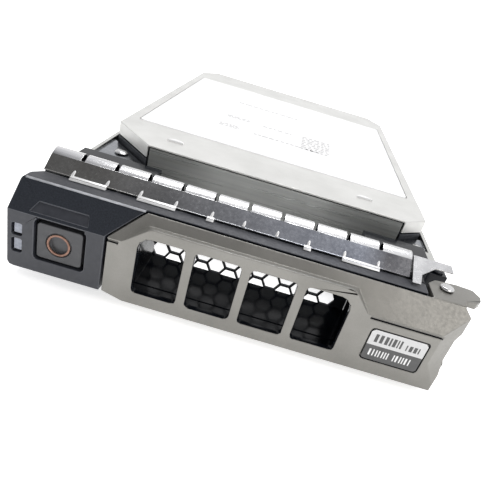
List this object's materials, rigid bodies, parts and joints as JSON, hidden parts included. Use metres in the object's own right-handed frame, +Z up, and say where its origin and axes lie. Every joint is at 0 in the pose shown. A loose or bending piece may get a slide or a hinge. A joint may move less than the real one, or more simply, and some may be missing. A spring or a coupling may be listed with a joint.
{
  "type": "hard disk drive",
  "caption": "Flat 3.5-inch hard disk drive screwed between the rails of a hot-swap carrier, with a hinged windowed front handle and a push-button latch.",
  "frame": {"origin": "where the spindle axis meets the plane of the drive underside", "axes": "+X along the bezel from the release button towards the handle hinge, +Y from the bezel back to the host connector, +Z up out of the cover label"},
  "size_m": [0.1122, 0.1905, 0.0285],
  "materials": {
    "black_plastic": "fine-textured black moulding",
    "button_plastic": "smooth dark grey moulding",
    "handle_paint": "warm grey metallic paint",
    "copper_ring": "satin copper colour",
    "lens": "clear grey light pipe",
    "stainless": "bright rolled stainless",
    "steel": "plain steel",
    "rail_steel": "zinc-plated sheet",
    "black_steel": "black coated sheet",
    "casting": "black e-coated casting",
    "cover_metal": "satin grey",
    "label_white": "white paper label",
    "label_grey": "grey printed label",
    "board": "green solder mask",
    "connector_black": "black moulding",
    "platter_mirror": "mirror-polished disk",
    "aluminium": "machined",
    "coil_copper": "enamelled copper winding",
    "magnet_nickel": "nickel-plated magnet",
    "ivory_plastic": "ivory moulding",
    "flex_amber": "amber film"
  },
  "bodies": {
    "carrier_and_drive": {"airflow_grille": "black_steel", "base_casting": "casting", "board_screw_1": "steel", "board_screw_2": "steel", "button_bezel": "black_plastic", "button_spring": "steel", "circuit_board": "board", "cover_label": "label_white", "drive_screw_1": "steel", "drive_screw_2": "steel", "drive_screw_3": "steel", "drive_screw_4": "steel", "emi_gasket": "stainless", "flex_cable": "flex_amber", "frame_screw": "black_steel", "front_frame": "black_plastic", "front_plate": "stainless", "handle_pin": "stainless", "handle_spring": "steel", "host_connector": "connector_black", "indicator_light_lower": "lens", "indicator_light_upper": "lens", "left_rail": "rail_steel", "left_rivet": "stainless", "load_ramp": "ivory_plastic", "magnet": "magnet_nickel", "motor_stator": "coil_copper", "pivot_bearing": "steel", "right_rail": "rail_steel", "right_rivet": "stainless", "shield_bracket": "stainless", "spindle_shaft": "steel", "top_cover": "cover_metal", "yoke_lower": "steel", "yoke_upper": "steel"},
    "handle": {"handle": "handle_paint", "handle_sticker": "label_grey"},
    "button": {"release_button": "button_plastic", "button_ring": "copper_ring"},
    "latch": {"latch_slider": "button_plastic"},
    "disk_stack": {"spindle_hub": "aluminium", "disk_clamp": "steel", "platter_1": "platter_mirror", "platter_2": "platter_mirror", "platter_3": "platter_mirror", "platter_4": "platter_mirror", "platter_5": "platter_mirror", "platter_6": "platter_mirror", "platter_7": "platter_mirror", "platter_8": "platter_mirror", "spacer_ring_1": "aluminium", "spacer_ring_2": "aluminium", "spacer_ring_3": "aluminium", "spacer_ring_4": "aluminium", "spacer_ring_5": "aluminium", "spacer_ring_6": "aluminium", "spacer_ring_7": "aluminium"},
    "actuator": {"head_stack": "aluminium", "voice_coil": "coil_copper"}
  },
  "joints": [
    {"name": "handle_hinge", "type": "hinge", "parent": "carrier_and_drive", "child": "handle", "pos_m": [0.0492, -0.0831, 0], "axis": [0, 0, 1], "range_deg": [0, 50]},
    {"name": "button_slide", "type": "slide", "parent": "carrier_and_drive", "child": "button", "axis": [0, 1, 0], "range_m": [0, 0.002], "stiffness_N_per_m": 300, "deforming": ["button_spring"]},
    {"name": "latch_slide", "type": "slide", "parent": "carrier_and_drive", "child": "latch", "axis": [1, 0, 0], "range_m": [-0.002, 0]},
    {"name": "spindle_spin", "type": "hinge", "parent": "carrier_and_drive", "child": "disk_stack", "pos_m": [0, 0, 0], "axis": [0, 0, 1], "continuous": true},
    {"name": "actuator_swing", "type": "hinge", "parent": "carrier_and_drive", "child": "actuator", "pos_m": [0.012, 0.058, 0], "axis": [0, 0, 1], "range_deg": [0, 35]}
  ],
  "couplings": [
    {"joint": "latch_slide", "follows": "button_slide", "ratio": -1}
  ]
}
